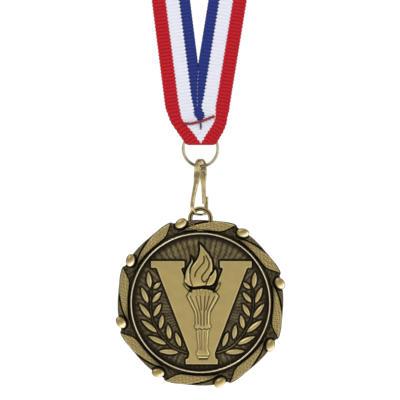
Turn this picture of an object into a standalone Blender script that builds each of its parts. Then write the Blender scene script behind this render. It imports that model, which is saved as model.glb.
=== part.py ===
"""Award medal on a striped neck ribbon, hanging upright and facing -Y.

The webbing is one long strip.  Its two strands lean apart from a mitred V, turn back over the
shoulders and meet behind the neck, where the whole part is held.  Below the V the webbing is
folded back round a split ring.  A bent spring clip hangs on the ring, and the cast medal hangs
by its own loop on the clip's hook.

Units are metres, +Z is up.  The origin is the inner face of the webbing at the nape.
Heights are first worked out from the middle of the ring, then shifted to that origin.
"""
import math

import bmesh
import bpy
from mathutils import Matrix, Vector

# Webbing
WEBBING_WIDTH = 0.010
WEBBING_THICKNESS = 0.0009
DROP_LENGTH = 0.395            # along one strand, from the fold to the nape
STRAND_LEAN = math.radians(8.2)
CROTCH_RISE = 0.0231           # from the ring's middle to where the strands part
NAPE_STEPS = 22                # rows in the half turn over one shoulder
STRAND_STEPS = 6

# Fold that holds the ring
FOLD_RISE = 0.0010             # from the ring's middle to the bottom of the fold
POCKET_GAP = 0.0020            # between the two layers, beside the ring's wire
SEAM_REACH = 0.0032            # from the top of the ring's wire to the sewn line
TAB_END = 0.0008               # webbing left above the sewn line
LAYER_GAP = 0.0003             # between the two layers where they are sewn
FOLD_STEPS = 8

# Thread
THREAD = 0.0003
THREAD_GAP = 0.00015

# Split ring
RING_RADIUS = 0.0046           # to the middle of the wire
RING_WIRE = 0.0004             # radius of the wire
RING_SPLIT = 0.0003
RING_STEPS = 48
WIRE_SIDES = 10

# Clip, one bent strip; its rear leg is the sprung gate
STRIP_WIDTH = 0.0010
STRIP_THICKNESS = 0.0006
CLIP_TWIST = math.radians(-35)
CLIP_DROP = 0.0129             # from the ring's wire to the hook's low point
HEAD_RADIUS = 0.0015           # of the bend round the ring's wire
NECK_REACH = 0.0012            # half of the waist below the head
NECK_DROP = 0.0025
HOOK_FRONT = 0.00375
HOOK_TIP = 0.00265
HOOK_FLAT = 0.0016             # half of the level stretch through the medal's loop
HOOK_BEND = 0.0004             # softens the hook's corners
LEG_END = 0.0021               # from the hook's low point up to the end of the front leg
TIP_RISE = 0.0048
HEAD_TAIL = 0.0012             # how far the head runs down behind the wire
HEAD_STEPS = 8
GATE_RISE = 0.0029             # from the hook's low point to the gate's free end
CLEARANCE = 0.0003

# Medal
MEDAL_RADIUS = 0.0223          # of the plain round border
MEDAL_THICKNESS = 0.0026
MEDAL_EDGE = 0.0003            # bevel of every turned edge
BORDER_WIDTH = 0.0038          # from the crest of the raised ring out to the edge
RIM_WIDTH = 0.0011
FIELD_DEPTH = 0.0011           # from the crest of that ring down to the field
BORDER_DEPTH = 0.0005          # from the crest down to the border
RELIEF = 0.0008                # height of the emblem over the field
BEADS = 8
BEAD_TURN = math.radians(13.8)
BEAD_RADIUS = (0.0017, 0.0011, 0.0014)
MEDAL_STEPS = 96

# Medal loop
LOOP_OUTER = 0.00333
LOOP_BAR = 0.0012
LOOP_DEPTH = 0.0013
HOOK_HEADROOM = 0.00096        # from the hook's middle to the loop's inner top
LOOP_STEPS = 40

# Emblem, in the plane of the medal and measured from its middle, for a field of this radius
EMBLEM_FIELD = 0.01795
V_TOP = 0.0113
V_BOTTOM = -0.0165
V_ARM_OUT = 0.0120
V_ARM_WIDTH = 0.0067
V_FOOT = 0.0036
SERIF_OUT = 0.0138
SERIF_IN = 0.0045
SERIF_HEIGHT = 0.0021
FOOT_OUT = 0.0044
FOOT_HEIGHT = 0.0016
TORCH_BOTTOM = -0.0150
TORCH_TOP = 0.0159
SHAFT_HALF = 0.0015
COLLAR_HALF = 0.0022
COLLAR_LOW, COLLAR_HIGH = -0.0068, -0.0058
CUP = ((0.0019, -0.0025), (0.0042, 0.0018), (0.0034, 0.0034))
FLAME = ((0.0043, 0.0070), (0.0035, 0.0098), (0.0018, 0.0130))
LAUREL_RADIUS = 0.0148
LAUREL_LEAVES = 6
LAUREL_START, LAUREL_END = math.radians(-57), math.radians(26)
LEAF_SIZE = (0.0024, 0.00075, 0.0005)

GOLD = (0.47, 0.37, 0.19)
RING_METAL = (0.55, 0.51, 0.42)
RED = (0.62, 0.02, 0.04)
THREAD_RED = (0.35, 0.02, 0.05)


def clear_scene():
    for item in list(bpy.data.objects):
        bpy.data.objects.remove(item, do_unlink=True)


def make_material(name, colour, roughness, metallic):
    material = bpy.data.materials.new(name)
    material.use_nodes = True
    shader = material.node_tree.nodes["Principled BSDF"]
    shader.inputs["Base Color"].default_value = (*colour, 1.0)
    shader.inputs["Roughness"].default_value = roughness
    shader.inputs["Metallic"].default_value = metallic
    return material


def add_object(name, bm, place=(0, 0, 0), material=None):
    """Turn a bmesh into an object, facing out, at the given place."""
    bmesh.ops.recalc_face_normals(bm, faces=bm.faces)
    mesh = bpy.data.meshes.new(name)
    bm.to_mesh(mesh)
    bm.free()
    item = bpy.data.objects.new(name, mesh)
    bpy.context.collection.objects.link(item)
    item.location = place
    if material:
        mesh.materials.append(material)
    mesh.shade_smooth()
    mesh.set_sharp_from_angle(angle=math.radians(40))
    return item


def sweep(bm, sections, closed=False):
    """Skin a list of equally long point loops; the ends are capped unless it is closed."""
    rings = [[bm.verts.new(point) for point in section] for section in sections]
    pairs = list(zip(rings, rings[1:]))
    if closed:
        pairs.append((rings[-1], rings[0]))
    for first, second in pairs:
        for index in range(len(first)):
            following = (index + 1) % len(first)
            bm.faces.new((first[index], first[following], second[following], second[index]))
    if not closed:
        bm.faces.new(list(reversed(rings[0])))
        bm.faces.new(rings[-1])


def prism(outline, front, back):
    """Closed plate of a plane outline given as (x, z), between two depths along Y."""
    bm = bmesh.new()
    sweep(bm, [[(x, depth, z) for x, z in outline] for depth in (front, back)])
    return bm


# ---------------------------------------------------------------- webbing

def shoulder_helix():
    """Radius and start of the half turn of helix that takes one strand behind the neck.

    A strip bends only across its face, so its path is a helix: its tangent turns evenly from
    the strand's lean to level at the nape.  The radius follows from the webbing's length.
    """
    lean_sin, lean_cos = math.sin(STRAND_LEAN), math.cos(STRAND_LEAN)
    axis = Vector((lean_cos, 0, 1 + lean_sin)).normalized()
    pitch_angle = math.acos(axis.x)
    run = math.pi / math.tan(pitch_angle)          # along the axis, for a radius of 1
    arc = math.pi / math.sin(pitch_angle)          # along the path, for a radius of 1
    half_width = WEBBING_WIDTH / 2 / lean_cos
    # strand: x = half_width + (z - crotch) tan(lean), and x must equal run * axis.x * radius
    slope = run * axis.x / math.tan(STRAND_LEAN)
    offset = CROTCH_RISE - half_width / math.tan(STRAND_LEAN)
    radius = (DROP_LENGTH - (offset - FOLD_RISE) / lean_cos) / (slope / lean_cos + arc)
    start = Vector((-run * axis.x * radius, 0, offset + slope * radius))
    return axis, pitch_angle, radius, start


def shoulder_point(turn):
    """Place, tangent and outward normal of the left strand, for a turn from 0 to pi."""
    axis, pitch_angle, radius, start = shoulder_helix()
    inward = Vector((0, 1, 0))
    across = axis.cross(inward)
    if across.dot(Vector((-math.sin(STRAND_LEAN), 0, math.cos(STRAND_LEAN)))) < 0:
        across = -across
    centre = start + inward * radius
    outward = -inward * math.cos(turn) + across * math.sin(turn)
    place = centre + outward * radius + axis * (turn * radius / math.tan(pitch_angle))
    sideways = inward * math.sin(turn) + across * math.cos(turn)
    tangent = sideways * math.sin(pitch_angle) + axis * math.cos(pitch_angle)
    return place, tangent, outward


def strand_rows():
    """Rows of (inner edge, outer edge, normal) on the left strand, from the nape to the crotch."""
    rows = []
    for step in range(NAPE_STEPS + 1):
        place, tangent, normal = shoulder_point(math.pi * (1 - step / NAPE_STEPS))
        side = tangent.cross(normal) * (WEBBING_WIDTH / 2)
        rows.append((place + side, place - side, normal))
    top = rows[-1]
    along = Vector((-math.sin(STRAND_LEAN), 0, math.cos(STRAND_LEAN)))
    length = (top[0].z - CROTCH_RISE) / along.z
    for step in range(1, STRAND_STEPS + 1):
        drop = along * (length * step / STRAND_STEPS)
        rows.append((top[0] - drop, top[1] - drop, top[2]))
    return rows


def fold_half_width():
    """Half of the fold's width, which passes inside the ring beside its wire."""
    inside = RING_RADIUS - RING_WIRE - CLEARANCE
    height = FOLD_RISE + WEBBING_THICKNESS
    return math.sqrt(inside ** 2 - height ** 2)


def seam_rise():
    """Height of the sewn line over the ring's middle, clear of the ring's wire."""
    return RING_RADIUS + RING_WIRE + SEAM_REACH


def pocket_rows():
    """Rows on the left half of the V, the fold round the ring and the sewn-down tab."""
    half_thick = WEBBING_THICKNESS / 2
    pocket = POCKET_GAP / 2 + half_thick
    sewn = LAYER_GAP / 2 + half_thick
    narrow, seam = fold_half_width(), seam_rise()
    arc_height = FOLD_RISE + half_thick + pocket
    wide = WEBBING_WIDTH / math.cos(STRAND_LEAN)
    slope = math.tan(STRAND_LEAN)

    def v_edge(height):
        return wide - (CROTCH_RISE - height) * slope

    middle = (seam + arc_height) / 2
    tab_top = seam + TAB_END
    profile = [(0.0, seam + 0.4 * (CROTCH_RISE - seam)),
               (-sewn, tab_top + LAYER_GAP), (-sewn, seam)]
    rows = [(y, z, v_edge(z)) for y, z in profile]
    rows.append((-pocket, middle, (v_edge(seam) + narrow) / 2))
    for step in range(FOLD_STEPS + 1):
        turn = math.pi * step / FOLD_STEPS
        rows.append((-pocket * math.cos(turn), arc_height - pocket * math.sin(turn), narrow))
    rows += [(pocket, middle, narrow), (sewn, seam, narrow), (sewn, tab_top, narrow)]
    result = []
    for index, (y, z, half) in enumerate(rows):
        before = rows[max(index - 1, 0)]
        after = rows[min(index + 1, len(rows) - 1)]
        normal = Vector((0, after[1] - before[1], before[0] - after[0])).normalized()
        result.append((Vector((0, y, z)), Vector((-half, y, z)), normal))
    return result


def build_webbing(material, place):
    """Both strands, the V, the fold and the tab, as one closed strip of webbing."""
    half_thick = WEBBING_THICKNESS / 2
    strand, pocket = strand_rows(), pocket_rows()
    bm = bmesh.new()
    for mirror in (1, -1):
        grid = []
        for inner, outer, normal in strand + pocket:
            row = [edge + normal * (half_thick * side)
                   for edge in (inner, outer) for side in (1, -1)]
            grid.append([bm.verts.new((mirror * point.x, point.y, point.z)) for point in row])
        for index, (above, below) in enumerate(zip(grid, grid[1:])):
            bm.faces.new((above[0], above[2], below[2], below[0]))
            bm.faces.new((above[1], above[3], below[3], below[1]))
            bm.faces.new((above[2], above[3], below[3], below[2]))
            if index < len(strand) - 1:
                bm.faces.new((above[0], above[1], below[1], below[0]))
        end = grid[-1]
        bm.faces.new((end[0], end[1], end[3], end[2]))
    bmesh.ops.remove_doubles(bm, verts=bm.verts, dist=1e-6)
    return add_object("ribbon", bm, place, material)


def build_threads(material, place):
    """The sewn line across the fold, and the mitre seam down the back of the V."""
    half_thick = WEBBING_THICKNESS / 2
    sewn = LAYER_GAP / 2 + half_thick
    front = -sewn - half_thick - THREAD_GAP
    length = WEBBING_WIDTH * 0.6
    low = seam_rise()
    line = [(-length, low), (length, low), (length, low + THREAD), (-length, low + THREAD)]
    add_object("fold_stitching", prism(line, front - THREAD, front), place, material)
    back = half_thick + THREAD_GAP
    low, high = low + 0.5 * (CROTCH_RISE - low), CROTCH_RISE - THREAD
    seam = [(-THREAD / 2, low), (THREAD / 2, low), (THREAD / 2, high), (-THREAD / 2, high)]
    add_object("mitre_stitching", prism(seam, back, back + THREAD), place, material)


# ---------------------------------------------------------------- ring and clip

def build_ring(material, place):
    """Wire ring in the XZ plane, split at the top inside the fold."""
    split = RING_SPLIT / 2 / RING_RADIUS
    sections = []
    for step in range(RING_STEPS + 1):
        angle = math.pi / 2 + split + (2 * math.pi - 2 * split) * step / RING_STEPS
        outward = Vector((math.cos(angle), 0, math.sin(angle)))
        section = []
        for side in range(WIRE_SIDES):
            turn = 2 * math.pi * side / WIRE_SIDES
            reach = outward * (RING_RADIUS + RING_WIRE * math.cos(turn))
            section.append(reach + Vector((0, RING_WIRE * math.sin(turn), 0)))
        sections.append(section)
    bm = bmesh.new()
    sweep(bm, sections)
    return add_object("jump_ring", bm, place, material)


def round_corners(points, rounds=2):
    """Cut the corners of an open path a few times, keeping its two ends."""
    for _ in range(rounds):
        rounded = [points[0]]
        for first, second in zip(points, points[1:]):
            rounded.append(first.lerp(second, 0.25))
            rounded.append(first.lerp(second, 0.75))
        rounded.append(points[-1])
        points = rounded
    return points


def strip_along(path):
    """Bent flat strip along a path given as (depth, height), before the clip's twist."""
    sections = []
    for index, point in enumerate(path):
        before, after = path[max(index - 1, 0)], path[min(index + 1, len(path) - 1)]
        tangent = (after - before).normalized()
        normal = Vector((-tangent.y, tangent.x)) * (STRIP_THICKNESS / 2)
        section = []
        for across, side in ((-1, -1), (1, -1), (1, 1), (-1, 1)):
            edge = point + normal * side
            section.append((across * STRIP_WIDTH / 2, edge.x, edge.y))
        sections.append(section)
    bm = bmesh.new()
    sweep(bm, sections)
    return bm


def hook_path():
    """Head round the ring's wire, front leg, hook and raised tip."""
    head = [Vector((HEAD_RADIUS, -HEAD_TAIL))]
    for step in range(HEAD_STEPS + 1):
        angle = math.pi * step / HEAD_STEPS
        head.append(Vector((HEAD_RADIUS * math.cos(angle), HEAD_RADIUS * math.sin(angle))))
    low = -CLIP_DROP
    rest = [(-NECK_REACH, -NECK_DROP), (-HOOK_FRONT, low + LEG_END),
            (-HOOK_FLAT - 3 * HOOK_BEND, low + HOOK_BEND), (-HOOK_FLAT, low), (HOOK_FLAT, low),
            (HOOK_TIP - HOOK_BEND, low + HOOK_BEND), (HOOK_TIP, low + 4 * HOOK_BEND),
            (HOOK_TIP, low + TIP_RISE)]
    return round_corners(head + [Vector(point) for point in rest])


def gate_path():
    """Rear leg, from just below the head to the inside of the hook's tip."""
    start = -HEAD_TAIL - CLEARANCE
    end_reach = HOOK_TIP - STRIP_THICKNESS - 1.2 * CLEARANCE
    points = [(HEAD_RADIUS, start), (NECK_REACH, -NECK_DROP - CLEARANCE),
              (end_reach - 0.0001, -CLIP_DROP + TIP_RISE), (end_reach, -CLIP_DROP + GATE_RISE)]
    return round_corners([Vector(point) for point in points])


def build_clip(material, place):
    """Hook and gate.  The gate's origin is on its bending line, just below the head."""
    hook = add_object("clip_hook", strip_along(hook_path()), place, material)
    hook.rotation_euler.z = CLIP_TWIST
    bend = Vector((0, HEAD_RADIUS, -HEAD_TAIL - CLEARANCE))
    bm = strip_along(gate_path())
    bmesh.ops.translate(bm, vec=-bend, verts=bm.verts)
    turned = Matrix.Rotation(CLIP_TWIST, 3, "Z") @ bend
    gate = add_object("clip_gate", bm, Vector(place) + turned, material)
    gate.rotation_euler.z = CLIP_TWIST
    return hook, gate


# ---------------------------------------------------------------- medal

def turned_disc(profile):
    """Solid turned about the Y axis from (radius, depth) points; both ends are on the axis."""
    bm = bmesh.new()
    ends = [bm.verts.new((0, depth, 0)) for depth in (profile[0][1], profile[-1][1])]
    rings = []
    for radius, depth in profile[1:-1]:
        ring = []
        for step in range(MEDAL_STEPS):
            angle = 2 * math.pi * step / MEDAL_STEPS
            ring.append(bm.verts.new((radius * math.cos(angle), depth, radius * math.sin(angle))))
        rings.append(ring)
    for step in range(MEDAL_STEPS):
        following = (step + 1) % MEDAL_STEPS
        bm.faces.new((ends[0], rings[0][step], rings[0][following]))
        bm.faces.new((ends[1], rings[-1][following], rings[-1][step]))
        for inner, outer in zip(rings, rings[1:]):
            bm.faces.new((inner[step], outer[step], outer[following], inner[following]))
    return bm


def ellipsoid(size, matrix, segments=12):
    bm = bmesh.new()
    bmesh.ops.create_uvsphere(bm, u_segments=segments, v_segments=segments // 2, radius=1)
    bmesh.ops.transform(bm, matrix=matrix @ Matrix.Diagonal((*size, 1)), verts=bm.verts)
    return bm


def v_outline():
    """Block letter shape of the victory emblem: two arms with serifs that meet in a foot."""
    shelf = V_TOP - SERIF_HEIGHT
    foot_top = V_BOTTOM + FOOT_HEIGHT
    inner_top = V_ARM_OUT - V_ARM_WIDTH
    slope = (V_ARM_OUT - V_FOOT) / (shelf - foot_top)
    notch = shelf - inner_top / slope
    right = [(FOOT_OUT, V_BOTTOM), (FOOT_OUT, foot_top), (V_FOOT, foot_top), (V_ARM_OUT, shelf),
             (SERIF_OUT, shelf), (SERIF_OUT, V_TOP), (SERIF_IN, V_TOP), (SERIF_IN, shelf),
             (inner_top, shelf)]
    left = [(-x, z) for x, z in reversed(right)]
    return right + [(0, notch)] + left


def torch_outline():
    """Plain torch: flame, cup, shaft and collar, in one outline."""
    right = [(SHAFT_HALF, TORCH_BOTTOM), (SHAFT_HALF, COLLAR_LOW), (COLLAR_HALF, COLLAR_LOW),
             (COLLAR_HALF, COLLAR_HIGH), (SHAFT_HALF, COLLAR_HIGH), *CUP, *FLAME]
    return right + [(0, TORCH_TOP)] + [(-x, z) for x, z in reversed(right)]


def rim_radius():
    """Crest of the raised ring round the field."""
    return MEDAL_RADIUS - BORDER_WIDTH


def relief_shapes(field, crest):
    """Everything raised on the medal's front, sunk a little into the metal under it."""
    sunk = field + RELIEF / 2
    scale = (rim_radius() - RIM_WIDTH / 2) / EMBLEM_FIELD
    shapes = []
    for outline, height in ((v_outline(), RELIEF), (torch_outline(), 1.3 * RELIEF)):
        fitted = [(x * scale, z * scale) for x, z in outline]
        shapes.append(prism(fitted, field - height, sunk))
    bead_ring = MEDAL_RADIUS - BEAD_RADIUS[1] / 2
    for index in range(BEADS):
        angle = BEAD_TURN + 2 * math.pi * index / BEADS
        place = Vector((bead_ring * math.cos(angle), crest + BORDER_DEPTH,
                        bead_ring * math.sin(angle)))
        turn = Matrix.Rotation(-angle + math.pi / 2, 4, "Y")
        along, across, depth = BEAD_RADIUS
        shapes.append(ellipsoid((along, depth, across), Matrix.Translation(place) @ turn))
    for side in (-1, 1):
        for index in range(LAUREL_LEAVES):
            share = index / (LAUREL_LEAVES - 1)
            angle = LAUREL_START + (LAUREL_END - LAUREL_START) * share
            reach = LAUREL_RADIUS * scale
            place = Vector((side * reach * math.cos(angle), field, reach * math.sin(angle)))
            turn = Matrix.Rotation(-side * angle + math.pi / 2, 4, "Y")
            length, width, height = (size * scale for size in LEAF_SIZE)
            shapes.append(ellipsoid((length, height, width),
                                    Matrix.Translation(place) @ turn, segments=8))
    return shapes


def loop_shape():
    """Flat ring on the medal's top edge; its lower half is inside the border."""
    bm = bmesh.new()
    sections = []
    for step in range(LOOP_STEPS):
        angle = 2 * math.pi * step / LOOP_STEPS
        outward = Vector((math.cos(angle), 0, math.sin(angle)))
        section = []
        for radius, depth in ((LOOP_OUTER - LOOP_BAR, -1), (LOOP_OUTER, -1),
                              (LOOP_OUTER, 1), (LOOP_OUTER - LOOP_BAR, 1)):
            point = outward * radius + Vector((0, depth * LOOP_DEPTH / 2, MEDAL_RADIUS))
            section.append(point)
        sections.append(section)
    sweep(bm, sections, closed=True)
    return bm


def build_medal(material, place):
    """Cast medal, with its origin in the middle of its loop, round which it rolls on the hook."""
    back = MEDAL_THICKNESS / 2
    crest = back - MEDAL_THICKNESS
    field = crest + FIELD_DEPTH
    border = crest + BORDER_DEPTH
    rim_in, rim_out = rim_radius() - RIM_WIDTH / 2, rim_radius() + RIM_WIDTH / 2
    edge, radius = MEDAL_EDGE, MEDAL_RADIUS
    profile = [(0, back), (radius - edge, back), (radius, back - edge),
               (radius, border + edge), (radius - edge, border),
               (rim_out, border), (rim_out - edge, crest), (rim_in + edge, crest),
               (rim_in, field), (0, field)]
    medal = add_object("medal", turned_disc(profile), place, material)
    medal.data.transform(Matrix.Translation((0, 0, -MEDAL_RADIUS)))
    raised = bpy.data.collections.new("raised_shapes")
    bpy.context.scene.collection.children.link(raised)
    for index, bm in enumerate([loop_shape()] + relief_shapes(field, crest)):
        bmesh.ops.translate(bm, vec=(0, 0, -MEDAL_RADIUS), verts=bm.verts)
        shape = add_object(f"raised_{index}", bm, place)
        bpy.context.collection.objects.unlink(shape)
        raised.objects.link(shape)
        shape.hide_render = True
        shape.display_type = "WIRE"
    union = medal.modifiers.new("raised_shapes", "BOOLEAN")
    union.operation = "UNION"
    union.operand_type = "COLLECTION"
    union.collection = raised
    union.solver = "EXACT"
    return medal


def main():
    clear_scene()
    nape = shoulder_point(math.pi)[0] - Vector((0, WEBBING_THICKNESS / 2, 0))
    ring_middle = -nape
    ring_low = ring_middle - Vector((0, 0, RING_RADIUS))
    loop_middle = ring_low - Vector((0, 0, CLIP_DROP + LOOP_OUTER - LOOP_BAR - HOOK_HEADROOM))

    build_webbing(make_material("webbing", RED, 0.85, 0.0), ring_middle)
    build_threads(make_material("thread", THREAD_RED, 0.8, 0.0), ring_middle)
    build_ring(make_material("ring_metal", RING_METAL, 0.3, 1.0), ring_middle)
    build_clip(make_material("clip_metal", GOLD, 0.3, 1.0), ring_low)
    build_medal(make_material("antique_gold", GOLD, 0.38, 1.0), loop_middle)


main()
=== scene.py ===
"""Looks of the award medal on its ribbon: cast relief, ribbed webbing, ring and spring clip."""
import math
import random

import bmesh
import bpy
import numpy as np
from mathutils import Matrix, Vector


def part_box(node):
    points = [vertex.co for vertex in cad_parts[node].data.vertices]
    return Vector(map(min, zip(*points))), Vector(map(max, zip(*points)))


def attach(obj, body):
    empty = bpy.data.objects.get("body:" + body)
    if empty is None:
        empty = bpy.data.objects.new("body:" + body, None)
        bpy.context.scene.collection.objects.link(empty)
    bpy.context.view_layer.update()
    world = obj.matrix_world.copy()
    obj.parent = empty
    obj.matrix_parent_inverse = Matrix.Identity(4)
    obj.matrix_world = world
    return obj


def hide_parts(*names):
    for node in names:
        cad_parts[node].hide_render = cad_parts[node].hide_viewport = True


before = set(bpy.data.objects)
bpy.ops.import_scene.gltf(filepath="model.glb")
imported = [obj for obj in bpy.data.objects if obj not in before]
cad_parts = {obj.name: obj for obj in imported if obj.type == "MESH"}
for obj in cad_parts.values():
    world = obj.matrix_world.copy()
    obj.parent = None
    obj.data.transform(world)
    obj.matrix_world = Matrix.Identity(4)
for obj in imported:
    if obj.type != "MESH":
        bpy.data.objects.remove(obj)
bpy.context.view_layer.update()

MM = 0.001

# ---------------- places taken from the CAD
ring_low, ring_high = (Vector(corner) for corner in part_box("jump_ring"))
RING_MIDDLE = (ring_low + ring_high) / 2
RING_RADIUS, RING_WIRE = 0.0046, 0.0004  # to the wire's middle, and the wire's own
MEDAL_RADIUS, MEDAL_THICKNESS = 0.0223, 0.0026
CLIP_DROP = 0.0129  # from the ring's lowest point to the hook's
LOOP_OUTER, LOOP_BAR, LOOP_DEPTH = 0.00333, 0.0012, 0.0013
HOOK_HEADROOM = 0.00096  # from the hook's middle up to the loop's bar
RING_LOW = RING_MIDDLE - Vector((0, 0, RING_RADIUS))
LOOP_MIDDLE = RING_LOW - Vector((0, 0, CLIP_DROP + LOOP_OUTER - LOOP_BAR - HOOK_HEADROOM))
MEDAL_MIDDLE = LOOP_MIDDLE - Vector((0, 0, MEDAL_RADIUS))


# ---------------- nodes and meshes

class Nodes:
    """Short ways to add nodes to a new material or world."""

    def __init__(self, owner, shader):
        owner.use_nodes = True
        self.owner, self.tree = owner, owner.node_tree
        self.shader = self.tree.nodes[shader].inputs

    def put(self, socket, value):
        """Link another node's output to a socket, or set the socket to a plain value."""
        if isinstance(value, bpy.types.NodeSocket):
            self.tree.links.new(value, socket)
        else:
            socket.default_value = value

    def add(self, kind, *values, output=0, **settings):
        """Add a node, with values for its first sockets and the rest by name; gives an output."""
        item = self.tree.nodes.new("ShaderNode" + kind)
        for key, value in settings.items():
            name = key.replace("_", " ")
            if name in item.inputs:
                self.put(item.inputs[name], value)
            else:
                setattr(item, key, value)
        for socket, value in zip(item.inputs, values):
            self.put(socket, value)
        return item.outputs[output]

    def calc(self, operation, *values):
        return self.add("Math", *values, operation=operation)

    def ramp(self, value, stops):
        """Colour ramp over (place, linear colour) stops."""
        colour = self.add("ValToRGB", value)
        elements = colour.node.color_ramp.elements
        while len(elements) < len(stops):
            elements.new(0.5)
        for element, (place, tone) in zip(elements, stops):
            element.position = place
            element.color = (*tone, 1)
        return colour

    def finish(self, **inputs):
        """Fill in the shader's sockets and give back the material or world."""
        for key, value in inputs.items():
            self.put(self.shader[key.replace("_", " ")], value)
        return self.owner


def new_material(name):
    return Nodes(bpy.data.materials.new(name), "Principled BSDF")


def srgb(red, green, blue):
    """Linear colour of a screen colour from 0 to 255."""
    def one(value):
        value /= 255
        return value / 12.92 if value <= 0.04045 else ((value + 0.055) / 1.055) ** 2.4
    return one(red), one(green), one(blue)


def grey(value):
    return value, value, value


def bmesh_of(vertices, faces, **layers):
    """Bmesh from vertices and faces, with a float layer on its points for each named list."""
    draft = bpy.data.meshes.new("draft")
    draft.from_pydata([tuple(v) for v in vertices], [], faces)
    for key, values in layers.items():
        layer = draft.attributes.new(key, "FLOAT", "POINT")
        layer.data.foreach_set("value", np.asarray(values, dtype=np.float32))
    bm = bmesh.new()
    bm.from_mesh(draft)
    bpy.data.meshes.remove(draft)
    return bm


def object_from(bm, name, material, sharp=None, orient=True):
    """Smooth object from a bmesh; edges past the sharp angle stay crisp.

    Orient turns the faces outwards, which a shape made of whole spheres doesn't need.
    """
    if orient:
        bmesh.ops.recalc_face_normals(bm, faces=bm.faces)
    mesh = bpy.data.meshes.new(name)
    bm.to_mesh(mesh)
    bm.free()
    mesh.shade_smooth()
    if sharp:
        mesh.set_sharp_from_angle(angle=math.radians(sharp))
    mesh.materials.append(material)
    item = bpy.data.objects.new(name, mesh)
    bpy.context.collection.objects.link(item)
    return item


# ---------------- lines, outlines and noise

def smooth_step(low, high, value):
    t = np.clip((value - low) / (high - low), 0, 1)
    return t * t * (3 - 2 * t)


def peak(distance, width):
    """1 on a line, falling away smoothly over about the width."""
    return np.exp(-(distance / width) ** 2)


def blend(low, high, share):
    return low + (high - low) * share


def line_distance(x, z, points, closed=False):
    """Distance from many points to a chain of straight lines."""
    chain = list(points) + ([points[0]] if closed else [])
    best = np.full(np.shape(x), 1e9)
    for (ax, az), (bx, bz) in zip(chain, chain[1:]):
        dx, dz = bx - ax, bz - az
        length = dx * dx + dz * dz + 1e-12
        t = np.clip(((x - ax) * dx + (z - az) * dz) / length, 0, 1)
        best = np.minimum(best, (x - ax - t * dx) ** 2 + (z - az - t * dz) ** 2)
    return np.sqrt(best)


def depth_inside(x, z, outline):
    """Signed distance to a closed outline, positive inside."""
    inside = np.zeros(np.shape(x), dtype=bool)
    for (ax, az), (bx, bz) in zip(outline, outline[1:] + outline[:1]):
        crosses = (az > z) != (bz > z)
        with np.errstate(divide="ignore", invalid="ignore"):
            at = (bx - ax) * (z - az) / (bz - az + 1e-12) + ax
        inside ^= crosses & (x < at)
    distance = line_distance(x, z, outline, closed=True)
    return np.where(inside, distance, -distance)


def curve_through(points, steps=6):
    """Smooth line through points (Catmull-Rom)."""
    extended = [points[0]] + list(points) + [points[-1]]
    line = []
    for a, b, c, d in zip(extended, extended[1:], extended[2:], extended[3:]):
        for step in range(steps):
            t = step / steps
            line.append(tuple(0.5 * (2 * q + (r - p) * t + (2 * p - 5 * q + 4 * r - s) * t * t
                                     + (3 * q - p - 3 * r + s) * t ** 3)
                              for p, q, r, s in zip(a, b, c, d)))
    return line + [tuple(points[-1])]


def rounded(outline, radius):
    """Outline with each corner replaced by a small curve."""
    result = []
    count = len(outline)
    for index in range(count):
        corner = Vector(outline[index])
        before, after = Vector(outline[index - 1]), Vector(outline[(index + 1) % count])
        first = corner + (before - corner).normalized() * min(radius, (before - corner).length / 2)
        last = corner + (after - corner).normalized() * min(radius, (after - corner).length / 2)
        for t in (0, 0.25, 0.5, 0.75, 1):
            point = first.lerp(corner, t).lerp(corner.lerp(last, t), t)
            result.append((point.x, point.y))
    return result


def wobble(x, z, seed, scale):
    """Cheap smooth noise from a few crossed waves, about -1 to 1."""
    rng = random.Random(seed)
    total = 0
    for _ in range(5):
        angle, rate, phase = rng.uniform(0, 6.3), rng.uniform(0.6, 1.7) / scale, rng.uniform(0, 6.3)
        total = total + np.sin((x * math.cos(angle) + z * math.sin(angle)) * rate * 6.28 + phase)
    return total / 3


# ---------------- materials

def cast_gold():
    """Antique gold: its wear attribute goes from patina and painted shade (0) to rubbed metal and
    painted highlight (1).
    """
    look = new_material("antique_gold")
    wear = look.add("Attribute", attribute_name="wear", output="Fac")
    place = look.add("TexCoord", output="Object")
    blotch = look.add("TexNoise", place, Scale=420.0, Detail=4.0, Roughness=0.6)
    fine = look.add("TexNoise", place, Scale=2600.0, Detail=3.0, Roughness=0.7)
    spread = look.calc("MULTIPLY_ADD", blotch, 0.09, look.calc("SUBTRACT", wear, 0.075))
    grain = look.calc("MULTIPLY_ADD", fine, 0.06, spread)
    colours = look.ramp(grain, [(0.0, srgb(19, 14, 7)), (0.2, srgb(42, 35, 21)),
                                (0.42, srgb(83, 74, 50)), (0.62, srgb(125, 110, 70)),
                                (0.8, srgb(163, 145, 90)), (1.0, srgb(216, 210, 190))])
    return look.finish(Base_Color=colours, Metallic=0.9,
                       Roughness=look.add("MapRange", grain, To_Min=0.62, To_Max=0.30),
                       Normal=look.add("Bump", Height=fine, Strength=0.22, Distance=0.00006))


def plated(name, dark, light, scale, rough_low, rough_high, low_darkening=None):
    """Plated metal with a soft cloudy tone and fine drawing lines.

    An optional ramp over the object's height darkens it.
    """
    look = new_material(name)
    place = look.add("TexCoord", output="Object")
    cloud = look.add("TexNoise", place, Scale=scale, Detail=4.0, Roughness=0.55)
    fine = look.add("TexNoise", place, Scale=scale * 9, Detail=2.0)
    tone = look.ramp(cloud, [(0.3, dark), (0.7, light)])
    if low_darkening:
        height = look.add("SeparateXYZ", look.add("TexCoord", output="Generated"), output="Z")
        tone = look.add("VectorMath", tone, look.ramp(height, low_darkening), operation="MULTIPLY")
    return look.finish(Base_Color=tone, Metallic=1.0,
                       Roughness=look.add("MapRange", cloud, To_Min=rough_low, To_Max=rough_high),
                       Normal=look.add("Bump", Height=fine, Strength=0.12, Distance=0.00003))


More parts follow.
